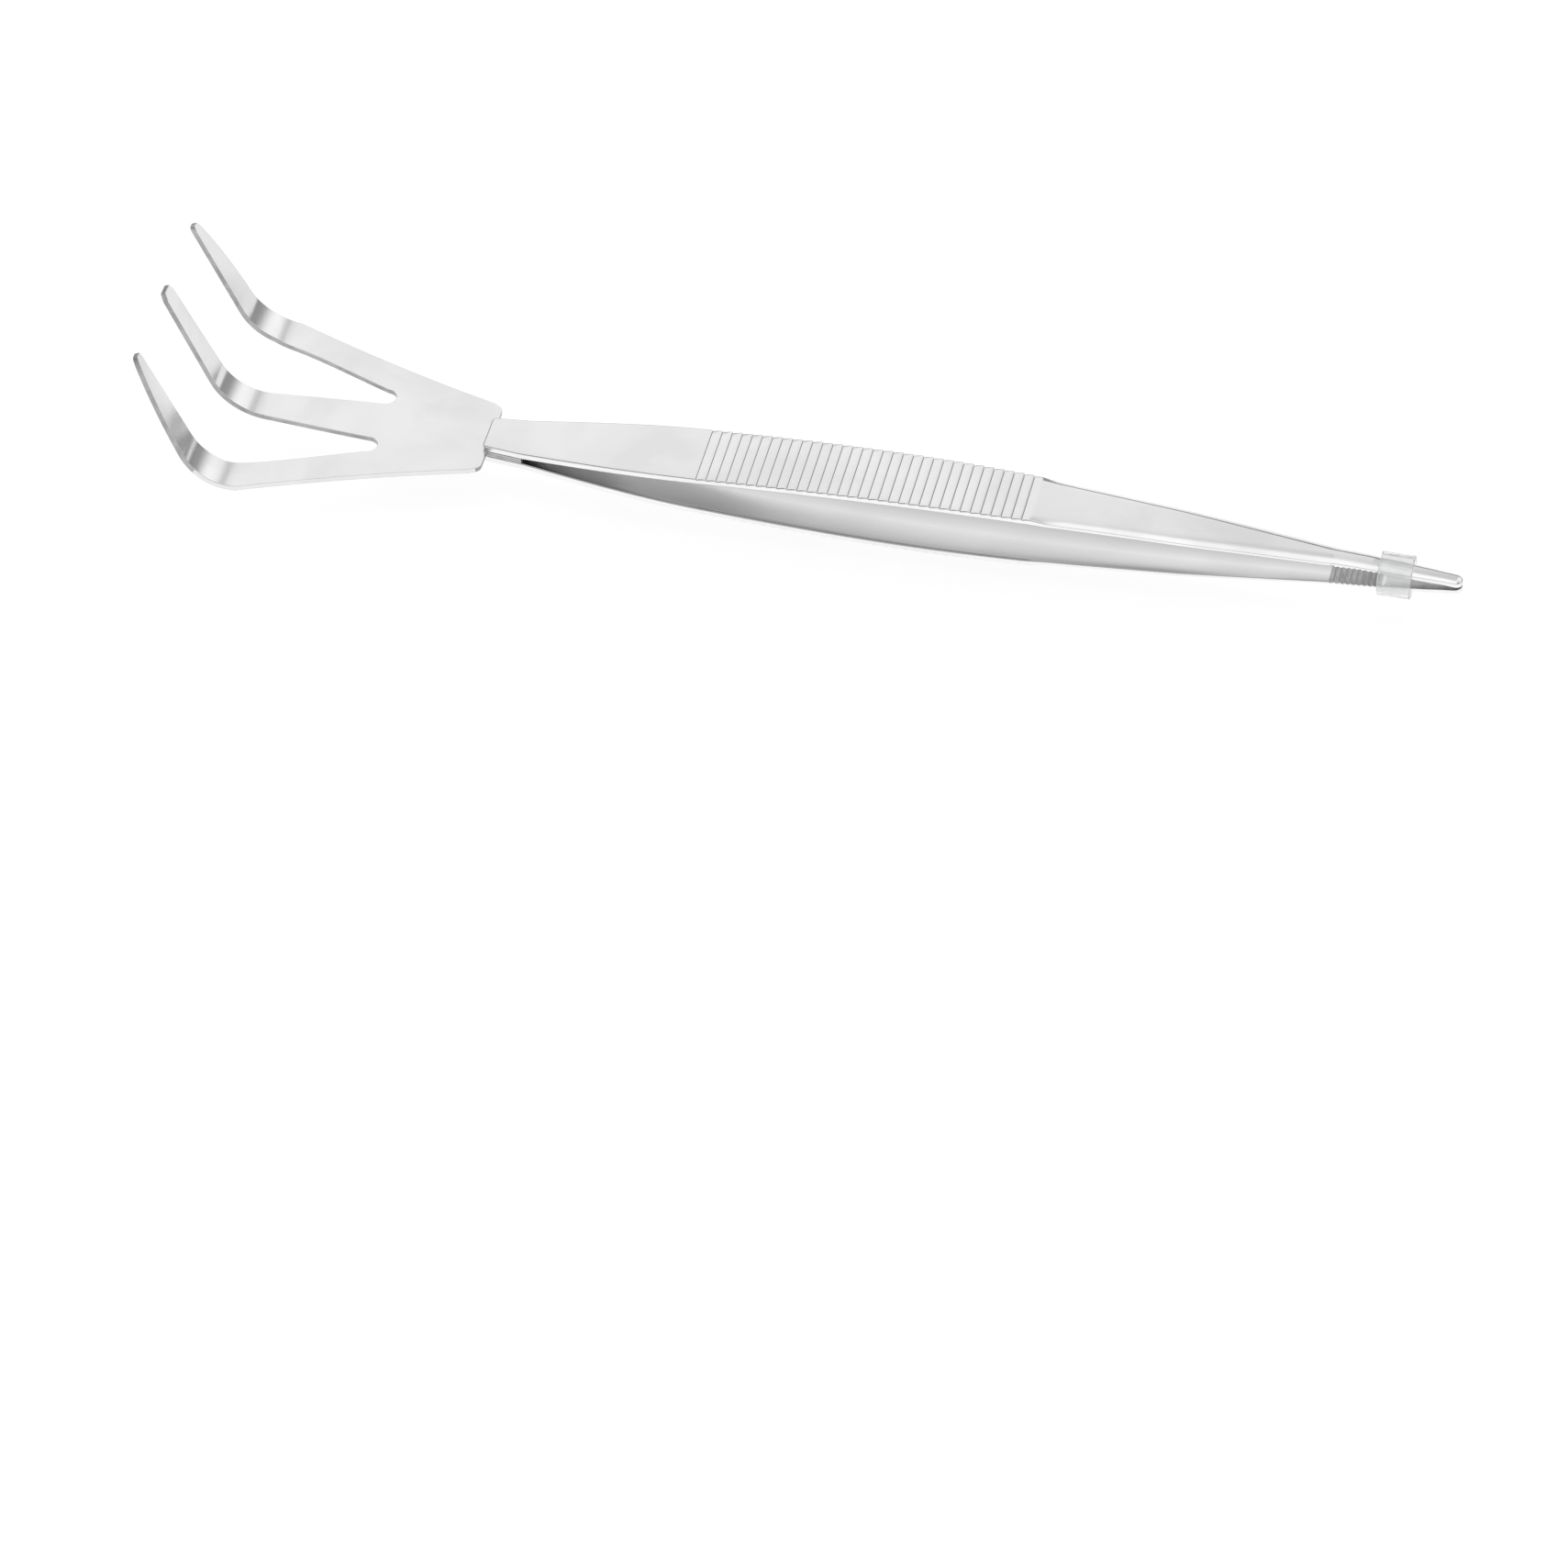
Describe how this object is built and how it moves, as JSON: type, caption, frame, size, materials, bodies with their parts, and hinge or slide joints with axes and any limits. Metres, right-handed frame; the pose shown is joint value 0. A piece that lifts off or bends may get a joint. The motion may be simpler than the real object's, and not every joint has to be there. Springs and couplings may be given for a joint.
{
  "type": "planting tweezers",
  "caption": "Long sprung planting tweezers with a bent rake at the root end, ribbed grips, toothed jaws and a clear sleeve that holds the tips closed.",
  "frame": {"origin": "on the upper arm's flat outer face at its root, on the centre line, over the middle of the welded tang", "axes": "+X along the tool towards the gripping tips, +Y across the tool, +Z out of the upper arm's root face, on the side that the tines are bent to"},
  "size_m": [0.2102, 0.0412, 0.0268],
  "materials": {
    "polished_steel": "polished",
    "sheet_steel": "polished",
    "weld_metal": "matte",
    "clear_sleeve": "clear"
  },
  "bodies": {
    "root": {"rake_head": "sheet_steel", "spot_welds": "weld_metal"},
    "upper_arm": {"upper_arm": "polished_steel"},
    "lower_arm": {"lower_arm": "polished_steel"},
    "sleeve": {"tip_sleeve": "clear_sleeve"}
  },
  "joints": [
    {"name": "upper_arm_flex", "type": "hinge", "parent": "root", "child": "upper_arm", "pos_m": [-0.00325, 0, -0.0012], "axis": [0, -1, 0], "range_deg": [0, 2]},
    {"name": "lower_arm_flex", "type": "hinge", "parent": "root", "child": "lower_arm", "pos_m": [-0.00325, 0, -0.0021], "axis": [0, 1, 0], "range_deg": [0, 2]},
    {"name": "sleeve_slide", "type": "slide", "parent": "root", "child": "sleeve", "axis": [1, 0, 0], "range_m": [0, 0.07]}
  ],
  "couplings": [
    {"joint": "lower_arm_flex", "follows": "upper_arm_flex", "ratio": 1},
    {"joint": "sleeve_slide", "follows": "upper_arm_flex", "m_per_rad": 2}
  ]
}
